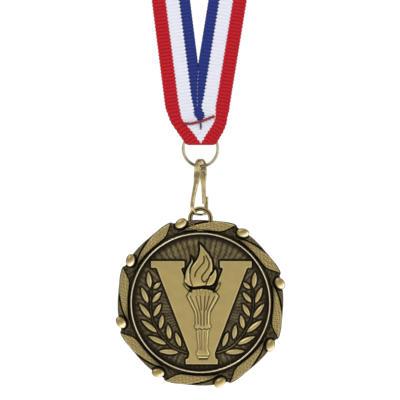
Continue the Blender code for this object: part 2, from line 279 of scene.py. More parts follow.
def ribbed_cloth():
    """Grosgrain: stripes run along the webbing and the ribs across it.

    The attribute across is the place from the outer selvedge (0) to the inner one (10), and
    along counts ribs.
    """
    look = new_material("webbing")
    across = look.add("Attribute", attribute_name="across", output="Fac")
    along = look.add("Attribute", attribute_name="along", output="Fac")
    rib = look.calc("COSINE", look.calc("MULTIPLY", along, 2 * math.pi))
    # thread-by-thread unevenness
    yarn_place = look.add("VectorMath", look.add("CombineXYZ", across, along), (4.2, 2.1, 0.0),
                          operation="MULTIPLY")
    yarn = look.add("TexNoise", yarn_place, Scale=1.0, Detail=3.0, Roughness=0.6)
    edge = look.calc("MULTIPLY_ADD", rib, 0.14, across)
    share = look.calc("MULTIPLY", look.calc("MULTIPLY_ADD", yarn, 0.22, edge), 0.1)

    def striped(outer, middle, inner):
        return look.ramp(share, [(0.0, outer), (0.352, outer), (0.366, middle), (0.706, middle),
                                 (0.72, inner), (1.0, inner)])
    stripes = striped(srgb(161, 13, 27), srgb(188, 189, 198), srgb(28, 41, 106))
    # the painted shade of the ribs shows less on the pale stripe
    contrast = striped(grey(1), grey(0.17), grey(0.9))
    # painted shade: the colour darkens in the troughs between the ribs
    shade = look.ramp(look.add("MapRange", rib, From_Min=-1.0),
                      [(0.0, grey(1)), (0.5, grey(0.94)), (0.8, grey(0.74)), (1.0, grey(0.5))])
    mottled = look.add("MapRange", yarn, From_Min=0.25, From_Max=0.75, To_Min=0.78, To_Max=1.22)
    change = look.calc("SUBTRACT", look.calc("MULTIPLY", shade, mottled), 1.0)
    level = look.calc("MULTIPLY_ADD", change, contrast, 1.0)
    return look.finish(Base_Color=look.add("VectorMath", stripes, operation="SCALE", Scale=level),
                       Roughness=0.72, Specular_IOR_Level=0.12,
                       Normal=look.add("Bump", Height=yarn, Strength=0.35, Distance=0.00008))


def twisted_thread(name, dark, light):
    look = new_material(name)
    waves = look.add("TexWave", look.add("TexCoord", output="Object"), output="Fac",
                     bands_direction="DIAGONAL", Scale=1400.0, Distortion=2.0)
    return look.finish(Base_Color=look.ramp(waves, [(0.2, dark), (0.8, light)]), Roughness=0.7,
                       Normal=look.add("Bump", Height=waves, Strength=0.4, Distance=0.00004))


GOLD = cast_gold()
CLIP_METAL = plated("clip_brass", srgb(116, 100, 60), srgb(200, 184, 136), 420.0, 0.16, 0.28)
# the ring grows darker towards its bottom
RING_METAL = plated("ring_plate", srgb(138, 130, 104), srgb(184, 178, 156), 500.0, 0.24, 0.36,
                    [(0.0, (0.30, 0.28, 0.22)), (0.12, (0.5, 0.48, 0.42)), (0.4, grey(1))])
CLOTH = ribbed_cloth()
DARK_THREAD = twisted_thread("dark_red_thread", srgb(96, 3, 12), srgb(138, 6, 18))
BLUE_THREAD = twisted_thread("dark_blue_thread", srgb(14, 18, 58), srgb(26, 34, 92))
PALE_THREAD = twisted_thread("pale_thread", srgb(82, 90, 146), srgb(128, 136, 182))


# ---------------- medal, in mm from its middle

V_SHAPE = rounded([(-13.35, 11.3), (-4.1, 11.3), (-4.1, 9.25), (-5.05, 9.2), (0.4, -5.2), (5.86, 9.2),
    (5.0, 9.25), (5.0, 11.3), (13.8, 11.3), (13.8, 9.2), (12.5, 9.2), (3.95, -13.4), (4.15, -14.7),
    (4.75, -14.85), (4.75, -16.5), (-4.1, -16.5), (-4.1, -14.9), (-3.4, -14.7), (-3.1, -13.4),
    (-11.8, 9.2), (-13.35, 9.2)], 0.35)
FLAME = [(-0.37, 16.05), (0.49, 15.16), (1.27, 14.2), (1.95, 13.4), (2.6, 12.4), (3.07, 11.4),
    (3.3, 10.2), (3.3, 9.1), (3.2, 8.2), (2.9, 7.4), (3.1, 6.4), (3.2, 5.4), (2.9, 4.7), (0.5, 4.4),
    (-1.3, 4.2), (-2.3, 4.1), (-3.0, 4.7), (-3.3, 6.0), (-3.2, 7.6), (-2.9, 9.0), (-2.3, 10.0),
    (-1.7, 10.7), (-1.15, 11.4), (-0.7, 12.3), (-0.4, 13.2), (-0.25, 14.2), (-0.27, 15.0)]
LEFT_TONGUE = [(-2.55, 12.6), (-2.16, 12.1), (-1.93, 11.3), (-1.95, 10.7), (-2.4, 9.9), (-2.75, 9.0),
    (-2.9, 7.9), (-2.9, 6.6), (-2.6, 5.4), (-2.3, 4.4), (-3.4, 4.6), (-4.2, 5.6), (-4.25, 6.4),
    (-4.15, 7.3), (-4.0, 8.3), (-3.62, 9.2), (-3.1, 10.1), (-2.63, 10.9), (-2.47, 11.7)]
RIGHT_TONGUE = [(3.97, 9.4), (4.3, 8.45), (4.4, 7.5), (4.25, 6.5), (3.9, 5.6), (3.2, 4.7), (1.6, 4.5),
    (1.9, 5.6), (2.4, 6.8), (3.0, 7.7), (3.5, 8.4)]
FLAME_GROOVES = [
    [(0.88, 12.4), (0.96, 11.5), (0.73, 10.6), (0.18, 10.0), (-0.52, 9.15), (-1.15, 8.3),
     (-1.46, 7.6), (-1.5, 7.0)],
    [(1.43, 12.6), (1.9, 11.65), (2.29, 10.7), (2.17, 9.85), (1.9, 9.07), (1.27, 8.2),
     (0.65, 7.5), (0.33, 6.9), (0.41, 6.2), (0.88, 5.64), (1.43, 5.7), (1.7, 6.3)],
    [(3.1, 8.2), (2.68, 7.67), (2.36, 7.04), (2.13, 6.5)]]
CUP = [(-2.86, 3.1), (-2.3, 3.55), (-1.0, 3.75), (0.41, 3.85), (1.8, 3.75), (3.1, 3.4), (3.85, 2.95),
    (4.45, 2.4), (4.86, 1.75), (4.2, 0.5), (3.4, -0.9), (2.6, -2.3), (2.4, -3.2), (2.4, -5.4),
    (2.85, -6.35), (2.45, -6.9), (2.12, -7.6), (2.05, -9.0), (1.85, -11.7), (1.95, -12.5),
    (2.45, -13.3), (2.36, -13.8), (1.85, -14.9), (-0.5, -14.95), (-1.07, -13.8), (-1.15, -13.3),
    (-0.75, -12.5), (-0.6, -11.7), (-0.9, -9.0), (-0.97, -7.6), (-1.3, -6.9), (-1.62, -6.3),
    (-1.28, -5.4), (-1.38, -3.1), (-1.6, -2.2), (-2.3, -0.8), (-3.0, 0.6), (-3.6, 1.8), (-3.25, 2.5)]
CUP_FLUTES = [
    [(-2.75, 1.8), (-0.99, -2.1), (-0.75, -3.2), (-0.68, -5.6)],
    [(-1.23, 1.7), (-0.29, -1.85), (0.05, -3.0), (0.1, -6.0)],
    [(-0.05, 1.7), (0.2, -1.85)],
    [(1.15, 1.7), (0.96, -1.85), (0.92, -3.0), (0.88, -6.0)],
    [(2.25, 1.7), (1.43, -1.85)],
    [(3.7, 1.7), (1.95, -2.0), (1.75, -3.2), (1.75, -5.6)],
    [(-0.35, -7.6), (-0.1, -12.6)], [(0.25, -7.6), (0.35, -12.6)],
    [(1.0, -7.6), (0.95, -12.6)], [(1.55, -7.6), (1.4, -12.6)],
    [(-1.0, 3.5), (-0.95, 1.9)], [(-0.2, 3.6), (-0.2, 1.9)],
    [(1.25, 3.6), (1.25, 1.9)], [(2.2, 3.5), (2.25, 1.9)]]
CURLS = [[(-4.35, 5.4), (-3.9, 4.55), (-3.2, 3.75), (-2.6, 3.2)],
         [(5.15, 5.6), (4.75, 4.6), (4.35, 3.8), (3.75, 3.1)]]
COLLAR = [(-1.35, -6.75), (-0.85, -7.15), (-0.2, -6.8), (0.45, -7.2), (1.1, -6.8), (1.7, -7.15),
    (2.3, -6.75)]
STEM = [(-3.6, -13.3), (-5.7, -12.7), (-7.85, -11.5), (-9.45, -9.9), (-11.3, -7.4), (-12.75, -4.5),
    (-13.35, -0.8), (-13.2, 3.2)]
# centre, length, half width and the way the tip points, for the left branch
LEAVES = [(-13.67, 6.1, 4.5, 0.78, 96), (-14.86, 2.05, 4.8, 0.76, 113),
          (-14.83, -2.1, 5.1, 0.76, 128), (-13.67, -6.24, 5.4, 0.78, 142),
          (-11.54, -9.95, 5.4, 0.80, 156), (-8.5, -13.05, 5.5, 0.80, 177),
          (-11.57, 4.6, 2.7, 0.64, 41), (-11.66, 1.5, 3.8, 0.70, 50),
          (-11.46, -1.93, 4.05, 0.72, 60), (-10.4, -5.05, 3.95, 0.74, 79),
          (-8.41, -7.75, 4.05, 0.78, 97), (-5.95, -9.75, 4.3, 0.74, 109)]
LAUREL_MIRROR = 0.35
MOUTH = [(-2.3, 3.75), (-1.0, 4.0), (0.5, 4.15), (2.0, 4.1), (3.2, 3.75)]
ENGRAVED = 0.17  # half the width of an engraved line

# heights over the field, towards the viewer
V_HEIGHT, TORCH_HEIGHT, LEAF_HEIGHT, CREST, BORDER = 0.85, 1.25, 0.8, 1.1, 0.6
RIM_LINE, FIELD_REACH = 18.46, 17.98
BEADS, BEAD_CIRCLE, BEAD_HALVES = 8, 21.8, (1.74, 0.72, 1.22)
BEAD_TURN, BEAD_SLANT = math.radians(13.8), math.radians(20)
FIELD_Y = -MEDAL_THICKNESS / 2 + CREST * MM  # depth of the field from the medal's middle


def emblem_surface(x, z):
    """Height in mm, and wear with painted shade and highlights, of the whole field inside the rim."""
    radius, angle = np.hypot(x, z), np.arctan2(z + 2.0, x - 0.4)
    bend = 0.3 * wobble(x, z, 3, 6.0)
    rays = np.abs(np.sin(angle * 37 + bend)) ** 0.5
    fine = np.abs(np.sin(angle * 111 + 0.8 * bend)) ** 0.6
    rough = 0.5 * wobble(x, z, 11, 1.1) + 0.6 * wobble(x, z, 12, 0.5)
    bright = 0.85 + 0.15 * smooth_step(2.0, 12.0, z) + 0.05 * smooth_step(-8.0, -14.0, z)
    height = 0.10 * (rays - 0.7) + 0.03 * fine + 0.03 * rough
    wear = bright * (0.02 + 0.38 * rays + 0.12 * fine) + 0.12 * rough + 0.05 * wobble(x, z, 13, 4.0)
    nearest = np.full(np.shape(x), -9.0)

    def raise_shape(depth, top, wall, dome, dome_width, tone, edge_wear_and_highlight):
        nonlocal height, wear, nearest
        wall_up = smooth_step(0.0, wall, depth)
        rise = wall_up * (top + dome * (1 - np.exp(-np.clip(depth - wall, 0, 9) / dome_width)))
        # the last argument paints a bright line along the top of each wall: partly rubbed wear, partly
        # a painted highlight where the edge catches light
        colour = blend(0.12, tone, wall_up) + edge_wear_and_highlight * peak(depth - wall, 0.16)
        taller = (depth > 0) & (rise > height - 0.05)
        height = np.where(taller, rise, height)
        wear = np.where(taller, colour, wear)
        nearest = np.maximum(nearest, depth)

    def engrave(away, width, deep, dark, where=1.0):
        nonlocal height, wear
        cut = peak(away, width) * where
        height, wear = height - deep * cut, wear - dark * cut

    # laurel branches
    for side in (-1, 1):
        def place(point):
            return point if side < 0 else (2 * LAUREL_MIRROR - point[0], point[1])
        stem = line_distance(x, z, curve_through([place(p) for p in STEM]))
        low_part = smooth_step(-4.0, -12.0, z)
        raise_shape(0.19 - stem, 0.4, 0.14, 0.1, 0.2, 0.36 + 0.26 * low_part, 0.04)
        for cx, cz, length, wide, way in LEAVES:
            cx, cz = place((cx, cz))
            turn = math.radians(way if side < 0 else 180 - way)
            along = (x - cx) * math.cos(turn) + (z - cz) * math.sin(turn)
            over = -(x - cx) * math.sin(turn) + (z - cz) * math.cos(turn)
            share = np.clip(2 * along / length, -1, 1)
            half = wide * (1 - share ** 2) ** 0.8 * (1 - 0.12 * share)
            depth = np.where(np.abs(along) < length / 2, half - np.abs(over), -np.hypot(
                np.clip(np.abs(along) - length / 2, 0, 9), over))
            vein = (share > -0.9) * (share < 0.75)
            before = height
            raise_shape(depth, LEAF_HEIGHT * 0.72, 0.20, 0.30, 0.35, 0.78, 0.10)
            engrave(over, 0.10, 0.12, 0.13, vein * (depth > 0.1) * (height != before))
    # letter
    depth = depth_inside(x, z, V_SHAPE)
    raise_shape(depth, V_HEIGHT, 0.26, 0.0, 1.0, 0.745, 0.12)
    flat = depth > 0.3
    wear = np.where(flat, wear + 0.015 * wobble(x, z, 21, 4.0) + 0.008 * wobble(x, z, 22, 0.7), wear)
    # torch: a dark line where it meets the letter, then the shape over it
    tongues = [curve_through(shape + shape[:1], 3)[:-1]
               for shape in (FLAME, LEFT_TONGUE, RIGHT_TONGUE)]
    for index, outline in enumerate([rounded(CUP, 0.2)] + tongues):
        depth = depth_inside(x, z, outline)
        strength = 1.0 if index else np.where(z > -2.5, 1.0, np.where(z > -6.5, 0.6, 0.38))
        halo = smooth_step(-0.42, -0.08, depth) * (depth <= 0.02) * strength
        height = height - 0.12 * halo
        wear = wear * (1 - 0.9 * halo) + 0.06 * halo
        raise_shape(depth, TORCH_HEIGHT - 0.25, 0.22, 0.25, 0.5, 0.76, 0.12)
    for groove in FLAME_GROOVES:
        engrave(line_distance(x, z, curve_through(groove)), ENGRAVED, 0.34, 0.52)
    for index, groove in enumerate(CUP_FLUTES):
        engrave(line_distance(x, z, groove), ENGRAVED, 0.26, 0.38, 1.0 if index < 6 else 0.6)
    inside_torch = depth_inside(x, z, CUP) > 0.05
    for groove, dark in ((COLLAR, 0.42), ([(-1.0, -14.15), (2.2, -14.15)], 0.25),
                         ([(-0.3, -14.85), (1.8, -14.85)], 0.6)):
        engrave(line_distance(x, z, groove), 0.16, 0.22, dark, inside_torch | (dark > 0.5))
    wear = wear + 0.2 * peak(line_distance(x, z, [(-0.15, -14.5), (1.6, -14.5)]), 0.14)
    # dark mouth between flame and cup
    mouth = peak(line_distance(x, z, curve_through(MOUTH)), ENGRAVED)
    height, wear = height - 0.4 * mouth, wear * (1 - 0.85 * mouth)
    for curl in CURLS:
        away = line_distance(x, z, curve_through(curl))
        halo = smooth_step(0.62, 0.36, away) * smooth_step(curl[0][1] + 0.2, curl[0][1] - 0.6, z)
        wear = wear * (1 - 0.7 * halo)
        leaf = np.interp(z, [curl[-1][1], curl[-1][1] + 0.9, curl[0][1]], [0.12, 0.36, 0.1]) - away
        raise_shape(leaf, 1.2, 0.14, 0.15, 0.2, 0.70, 0.08)
    # dark patina with painted shade next to anything raised, and inside the rim
    patina_and_shade = 1 - (1 - 0.93 * smooth_step(-0.60, -0.14, nearest)) * (
        1 - 0.75 * smooth_step(16.3, 17.8, radius))
    wear = wear * (1 - patina_and_shade * (nearest <= 0))
    return np.clip(height, -0.15, 1.45), np.clip(wear, 0, 1)


def close_skin(bm, back_y):
    """Give an open grid walls down to a flat back, and close it."""
    rim = [edge for edge in bm.edges if edge.is_boundary]
    for item in bmesh.ops.extrude_edge_only(bm, edges=rim)["geom"]:
        if isinstance(item, bmesh.types.BMVert):
            item.co.y = back_y
    bmesh.ops.edgenet_fill(bm, edges=[e for e in bm.edges if e.is_boundary])


def build_emblem():
    """The field with its relief, a fine square grid cut to a disc."""
    pitch = 0.107
    count = int(FIELD_REACH / pitch)
    axis = np.arange(-count, count + 1) * pitch
    x, z = np.meshgrid(axis, axis)
    height, wear = emblem_surface(x, z)
    keep = np.hypot(x, z) < FIELD_REACH
    number = np.full(x.shape, -1)
    number[keep] = np.arange(keep.sum())
    vertices = np.stack([x[keep], -height[keep], z[keep]], axis=1) * MM
    vertices[:, 1] += FIELD_Y
    quads = np.stack([number[:-1, :-1], number[:-1, 1:], number[1:, 1:], number[1:, :-1]], axis=-1)
    quads = quads.reshape(-1, 4)
    quads = quads[(quads >= 0).all(axis=1)]
    bm = bmesh_of(vertices + np.array(MEDAL_MIDDLE), quads.tolist(), wear=wear[keep])
    bmesh.ops.delete(bm, geom=[v for v in bm.verts if not v.link_faces], context="VERTS")
    close_skin(bm, MEDAL_MIDDLE.y + FIELD_Y + 0.3 * MM)
    return object_from(bm, "medal_relief", GOLD, sharp=75)


def sector_turn(angle):
    """Degrees clockwise from the last bead, 0 to 45."""
    return (np.degrees(BEAD_TURN) - np.degrees(angle)) % (360 / BEADS)


def leaf_lines(turn):
    """Inner and outer edge of the big border leaf, by degrees past its bead."""
    inner = np.interp(turn, [0, 5, 15, 24, 29, 32, 34.5, 38.5, 45],
                      [19.45, 19.3, 19.2, 19.25, 19.5, 20.0, 20.9, 22.6, 23.4])
    outer = np.interp(turn, [0, 3.4, 7.2, 11.3, 18.6, 23, 32, 38, 38.5, 45],
                      [20.1, 20.42, 20.74, 21.07, 21.64, 22.1, 22.55, 22.8, 22.6, 21.9])
    return inner, outer


def border_edge(angle):
    """Radius of the medal's outline."""
    return np.interp(sector_turn(angle), [0, 3, 6, 12, 20, 27, 32, 37, 38.6, 40.0, 45],
                     [22.0, 22.1, 22.15, 22.05, 22.0, 22.25, 22.6, 22.85, 22.8, 22.3, 22.0])


def border_surface(radius, angle, edge):
    """Height in mm and wear of the leaf border and the rim."""
    turn = sector_turn(angle)
    inner, outer = leaf_lines(turn)
    x, z = radius * np.cos(angle), radius * np.sin(angle)
    grain = wobble(x, z, 31, 0.7) + 1.1 * wobble(x, z, 32, 0.38)
    fibres = np.sin(turn * 1.1 + radius * 4.1 + 2.4 * wobble(x, z, 34, 2.6))
    height = BORDER - 0.2 + 0.05 * fibres
    wear = 0.25 + 0.08 * fibres + 0.08 * grain
    # the big leaf: golden outside, brown towards the rim
    depth = np.minimum(radius - inner, outer - radius)
    share = np.clip((radius - inner) / np.maximum(outer - inner, 0.05), 0, 1)
    rise = smooth_step(0.0, 0.30, depth)
    strokes = np.sin((radius - 0.11 * turn) * 9.0 + 1.5 * wobble(x, z, 33, 3.0))
    leaf_height = BORDER + 0.30 + 0.10 * np.sin(share * math.pi) + 0.035 * strokes + 0.02 * grain
    golden = smooth_step(3, 16, turn + 6 * share)
    leaf_wear = 0.40 + 0.24 * golden + 0.04 * strokes + 0.10 * grain
    edge_line = peak(depth - 0.25, 0.13) * smooth_step(0.4, 0.8, share)
    height = np.where(depth > 0, blend(height, leaf_height, rise), height)
    wear = np.where(depth > 0, blend(wear * 0.5, leaf_wear, rise) + 0.10 * edge_line, wear)
    # the root of the following leaf, a narrow brown blade beside the rim
    root = np.minimum(radius - 19.2, np.interp(turn, [35, 45], [19.2, 20.1]) - radius)
    root_up = smooth_step(0.0, 0.22, root)
    height, wear = blend(height, BORDER + 0.2, root_up), blend(wear, 0.34 + 0.05 * grain, root_up)
    # the next leaf's back, along the outer edge
    second = np.minimum(edge + 0.3 - radius, radius - outer - 0.10) * (turn > 1.0) * (turn < 24)
    up = smooth_step(0.0, 0.22, second)
    height = blend(height, BORDER + 0.22 + 0.035 * strokes, up)
    wear = blend(wear, 0.40 + 0.07 * strokes + 0.07 * grain, up)
    # dark line between the leaves and anything next to them
    gap = peak(depth + 0.03, 0.12) * (radius < edge - 0.22)
    height, wear = height - 0.15 * gap, wear * (1 - 0.85 * gap)
    # soft dark pocket round each bead
    for index in range(BEADS):
        bead = BEAD_TURN + 2 * math.pi * index / BEADS
        away = np.hypot(x - BEAD_CIRCLE * math.cos(bead), z - BEAD_CIRCLE * math.sin(bead))
        pocket = smooth_step(2.2, 1.7, away)
        height, wear = height - 0.35 * pocket, wear * (1 - 0.75 * pocket)
    # rim: bright line with a groove each side
    crest = np.exp(-((radius - RIM_LINE) / 0.225) ** 4)
    groove = peak(radius - 19.16, 0.34) + peak(radius - 17.85, 0.30)
    height = blend(height, 0.55, smooth_step(19.15, 18.75, radius))
    height = blend(height, CREST, crest)
    wear = blend(wear * (1 - 0.92 * np.clip(groove, 0, 1)), 0.92, crest)
    height = blend(height, 0.05, smooth_step(18.15, 17.75, radius))
    # the outer edge rolls off
    height = height - 0.35 * smooth_step(edge - 0.28, edge, radius)
    return np.clip(height, -0.1, CREST + 0.02), np.clip(wear, 0, 1)


def build_border():
    """Turned grid: front from the field out to the leafy edge, then the back."""
    steps = 1440
    angle = np.linspace(0, 2 * math.pi, steps, endpoint=False)
    edge = border_edge(angle)
    for _ in range(3):
        edge = (np.roll(edge, 1) + 2 * edge + np.roll(edge, -1)) / 4
    rows, wears = [], []

    def add_row(radius, y, wear):
        rows.append(np.stack([radius * np.cos(angle) * MM, y + np.zeros(steps),
                              radius * np.sin(angle) * MM], axis=1))
        wears.append(wear + np.zeros(steps))

    # the innermost row sinks, so that the cap inside it lies under the relief
    add_row(17.5, FIELD_Y + 0.35 * MM, 0.1)
    inner = 17.6
    for share in np.linspace(0, 1, 46):
        radius = inner + (edge - inner) * share
        height, wear = border_surface(radius, angle, edge)
        front = FIELD_Y - height * MM
        add_row(radius, front, wear)
    # edge wall with rounded corners, then the back with its shallow groove, to its middle
    back = MEDAL_THICKNESS / 2
    for share, bulge, tone in ((0.15, 0.03, 0.5), (0.5, 0.05, 0.42), (0.85, 0.03, 0.42),
                               (0.97, -0.06, 0.55)):
        add_row(edge + bulge, blend(front, back, share), tone)
    add_row(edge * 0.992, back, 0.66)
    add_row(edge * 0.96, back, 0.62)
    for share, tone in ((0.945, 0.28), (0.93, 0.52), (0.8, 0.54), (0.6, 0.55), (0.4, 0.56),
                        (0.2, 0.55), (0.05, 0.55)):
        add_row(22.0 * share, back - 0.12 * MM, tone)
    number = np.arange(len(rows) * steps).reshape(len(rows), steps)
    ahead = np.roll(number, -1, axis=1)
    quads = np.stack([number[:-1], number[1:], ahead[1:], ahead[:-1]], axis=-1).reshape(-1, 4)
    caps = [number[0][::-1].tolist(), number[-1].tolist()]
    bm = bmesh_of(np.concatenate(rows) + np.array(MEDAL_MIDDLE), quads.tolist() + caps,
                  wear=np.concatenate(wears))
    return object_from(bm, "medal_border", GOLD, sharp=60)


def build_beads():
    """Polished beads, each slanted across the border, with a painted highlight on its lower right."""
    bm = bmesh.new()
    layer = bm.verts.layers.float.new("wear")
    for index in range(BEADS):
        angle = BEAD_TURN + 2 * math.pi * index / BEADS
        centre = MEDAL_MIDDLE + MM * Vector((BEAD_CIRCLE * math.cos(angle), 0,
                                             BEAD_CIRCLE * math.sin(angle)))
        centre.y += FIELD_Y - (BORDER - 0.05) * MM
        matrix = (Matrix.Translation(centre)
                  @ Matrix.Rotation(-angle - math.pi / 2 - BEAD_SLANT, 4, "Y")
                  @ Matrix.Diagonal((*(half * MM for half in BEAD_HALVES), 1))
                  @ Matrix.Rotation(math.pi / 2, 4, "X"))
        for vertex in bmesh.ops.create_uvsphere(bm, u_segments=40, v_segments=24,
                                                radius=1)["verts"]:
            vertex.co = matrix @ vertex.co
            off = (vertex.co - centre) / MM
            # painted highlight: each bead's colour grows lighter towards its lower right side
            lower_right_highlight = float(smooth_step(-0.3, 1.1, 0.45 * off.x - 0.9 * off.z))
            up = min(1.0, max(0.0, -2.2 * off.y / BEAD_HALVES[1]))
            vertex[layer] = 0.15 + (0.50 + 0.30 * lower_right_highlight) * up
    return object_from(bm, "medal_beads", GOLD, orient=False)


def skinned(rows, closed=False, **layers):
    """Bmesh over rows of points, each a closed section; the rows form a ring or get end caps."""
    size, count = len(rows[0]), len(rows)
    faces = []
    for row in range(count if closed else count - 1):
        for index in range(size):
            a, b = row * size + index, row * size + (index + 1) % size
            c, d = (a + size) % (count * size), (b + size) % (count * size)
            faces.append((a, b, d, c))
    if not closed:
        faces += [list(range(size - 1, -1, -1)), [(count - 1) * size + i for i in range(size)]]
    return bmesh_of([point for row in rows for point in row], faces, **layers)


def build_loop():
    """Hanging loop: a flat bar bent in a circle, with a groove round its face."""
    bar, depth = LOOP_BAR / 2, LOOP_DEPTH / 2
    # section in half bars: the front from inside to outside, then round the back; and its wear
    section = [(-0.92, 0.72, 0.45), (-0.72, 0.93, 0.66), (-0.45, 1.0, 0.7), (-0.28, 0.94, 0.48),
               (-0.12, 0.72, 0.16), (0.0, 0.64, 0.1), (0.12, 0.72, 0.16), (0.28, 0.94, 0.5),
               (0.45, 1.0, 0.74), (0.72, 0.93, 0.72), (0.92, 0.72, 0.5), (1.0, 0.4, 0.4),
               (1.0, -0.6, 0.5), (0.9, -0.86, 0.5), (0.7, -1.0, 0.5), (-0.7, -1.0, 0.5),
               (-0.9, -0.86, 0.5), (-1.0, -0.6, 0.5), (-1.0, 0.4, 0.4)]
    steps = 128
    rows = []
    for step in range(steps):
        angle = 2 * math.pi * step / steps
        outward = Vector((math.cos(angle), 0, math.sin(angle)))
        rows.append([LOOP_MIDDLE + outward * (LOOP_OUTER - bar + across * bar)
                     - Vector((0, up * depth, 0)) for across, up, _ in section])
    wear = [tone for _, _, tone in section] * steps
    return object_from(skinned(rows, closed=True, wear=wear), "medal_loop", GOLD)


# ---------------- ring and clip

def swept(path, frames, section):
    """Rows of a section, as (first, second) offsets, along a path with its two side directions."""
    return [[point + first * u + second * v for u, v in section]
            for point, (first, second) in zip(path, frames)]


def build_ring():
    """One turn of round wire, with its split at the top."""
    split = 0.00015 / RING_RADIUS
    steps = 144
    outward = []
    for step in range(steps + 1):
        angle = math.pi / 2 + split + (2 * math.pi - 2 * split) * step / steps
        outward.append(Vector((math.cos(angle), 0, math.sin(angle))))
    section = [(RING_WIRE * math.cos(t), RING_WIRE * math.sin(t))
               for t in (2 * math.pi * i / 20 for i in range(20))]
    rows = swept([RING_MIDDLE + out * RING_RADIUS for out in outward],
                 [(out, Vector((0, 1, 0))) for out in outward], section)
    return object_from(skinned(rows), "ring_wire", RING_METAL, sharp=50)


STRIP_WIDTH, STRIP_THICKNESS, STRIP_CORNER = 0.0010, 0.0006, 0.00011
CLIP_TWIST = math.radians(-35)
HEAD_RADIUS, NECK_REACH, NECK_DROP = 0.0015, 0.0012, 0.0025
HEAD_STRETCH = 1.15  # the head stands a little taller than a half round
HOOK_FRONT, HOOK_TIP, HOOK_FLAT = 0.0043, 0.00265, 0.0016
TIP_RISE, HEAD_TAIL, GATE_RISE, CLEARANCE = 0.0048, 0.0012, 0.0029, 0.0003


def round_corners(points, rounds=4):
    """Cut a line's corners again and again, which rounds them."""
    for _ in range(rounds):
        cut = [points[0]]
        for first, second in zip(points, points[1:]):
            cut += [first.lerp(second, 0.25), first.lerp(second, 0.75)]
        points = cut + [points[-1]]
    return points


def clip_strip(name, points, gate=False):
    """Bent strip through (forward, up) points measured from the ring's lowest point."""
    path = round_corners([Vector(p) for p in points])
    turn = Matrix.Rotation(CLIP_TWIST, 3, "Z")
    side = turn @ Vector((1, 0, 0))
    section = []
    for right, up, start in ((1, 1, 0), (-1, 1, 90), (-1, -1, 180), (1, -1, 270)):
        for part in range(4):
            angle = math.radians(start + part * 30)
            section.append((right * (STRIP_WIDTH / 2 - STRIP_CORNER) + STRIP_CORNER * math.cos(angle),
                            up * (STRIP_THICKNESS / 2 - STRIP_CORNER) + STRIP_CORNER * math.sin(angle)))
    frames = []
    for index, point in enumerate(path):
        tangent = path[min(index + 1, len(path) - 1)] - path[max(index - 1, 0)]
        normal = turn @ Vector((0, -tangent.y, tangent.x)).normalized()
        # the strip is wide over the ring and tapers down the legs
        wide = float(np.interp(point.y / MM,
                               [-11.0, -8.0, -5.0, -3.4, -2.4, -1.0, 0.1, 1.0, 1.6, 2.0],
                               [0.95, 1.05, 1.2, 1.65, 2.1, 1.8, 1.45, 1.45, 1.3, 0.9]))
        # the gate thins at its top, which leaves it room to flex
        thick = float(np.interp(point.y / MM, [-2.0, -1.3], [1.0, 0.75])) if gate else 1.0
        frames.append((side * wide, normal * thick))
    rows = swept([RING_LOW + turn @ Vector((0, point.x, point.y)) for point in path], frames, section)
    return object_from(skinned(rows), name, CLIP_METAL, sharp=50)


def build_clip():
    """Front leg, with the head and the hook, and the sprung rear leg."""
    head = [(HEAD_RADIUS, -HEAD_TAIL)]
    for step in range(9):
        angle = math.pi * step / 8
        head.append((HEAD_RADIUS * math.cos(angle), HEAD_RADIUS * HEAD_STRETCH * math.sin(angle)))
    low = -CLIP_DROP
    rest = [(-NECK_REACH, -NECK_DROP), (-HOOK_FRONT, low + 0.0021),
            (-HOOK_FLAT - 0.0012, low + 0.0004), (-HOOK_FLAT, low), (HOOK_FLAT, low),
            (HOOK_TIP - 0.0003, low + 0.0003), (HOOK_TIP, low + 0.0014), (HOOK_TIP, low + TIP_RISE)]
    hook = clip_strip("clip_front_leg", head + rest)
    reach = HOOK_TIP - STRIP_THICKNESS - 1.2 * CLEARANCE
    gate = clip_strip("clip_rear_leg", [
        (HEAD_RADIUS, -HEAD_TAIL - 0.0001), (NECK_REACH, -NECK_DROP - CLEARANCE),
        (reach - 0.0001, low + TIP_RISE), (reach, low + GATE_RISE)], gate=True)
    return hook, gate


# ---------------- webbing

WEBBING_WIDTH, WEBBING_THICKNESS = 0.010, 0.0009
DROP_LENGTH, STRAND_LEAN, CROTCH_RISE = 0.395, math.radians(8.2), 0.0231
FOLD_RISE, POCKET_GAP, SEAM_RISE, TAB_END = 0.0010, 0.0020, 0.0082, 0.0008
LAYER_GAP = 0.0003
RIB_PITCH, RIB_RISE = 0.00095, 0.00011
RIB_SHAPE = (0.0, 0.78, 1.0, 0.78)  # swell at each quarter of a rib
COLUMNS = (0.0, 0.35, 1.3, 3.0, 5.0, 7.0, 8.7, 9.45, 9.8)  # mm from the outer selvedge
STRIPE_COLUMN = 3.5  # where red meets white


def shoulder_helix():
    """The half turn of helix over one shoulder, from the webbing's length and lean."""
    lean_sin, lean_cos = math.sin(STRAND_LEAN), math.cos(STRAND_LEAN)
    axis = Vector((lean_cos, 0, 1 + lean_sin)).normalized()
    pitch_angle = math.acos(axis.x)
    run, arc = math.pi / math.tan(pitch_angle), math.pi / math.sin(pitch_angle)
    half_width = WEBBING_WIDTH / 2 / lean_cos
    slope = run * axis.x / math.tan(STRAND_LEAN)
    offset = CROTCH_RISE - half_width / math.tan(STRAND_LEAN)
    radius = (DROP_LENGTH - (offset - FOLD_RISE) / lean_cos) / (slope / lean_cos + arc)
    start = Vector((-run * axis.x * radius, 0, offset + slope * radius))
    return axis, pitch_angle, radius, start, arc * radius


AXIS, PITCH_ANGLE, HELIX_RADIUS, HELIX_START, HELIX_LENGTH = shoulder_helix()


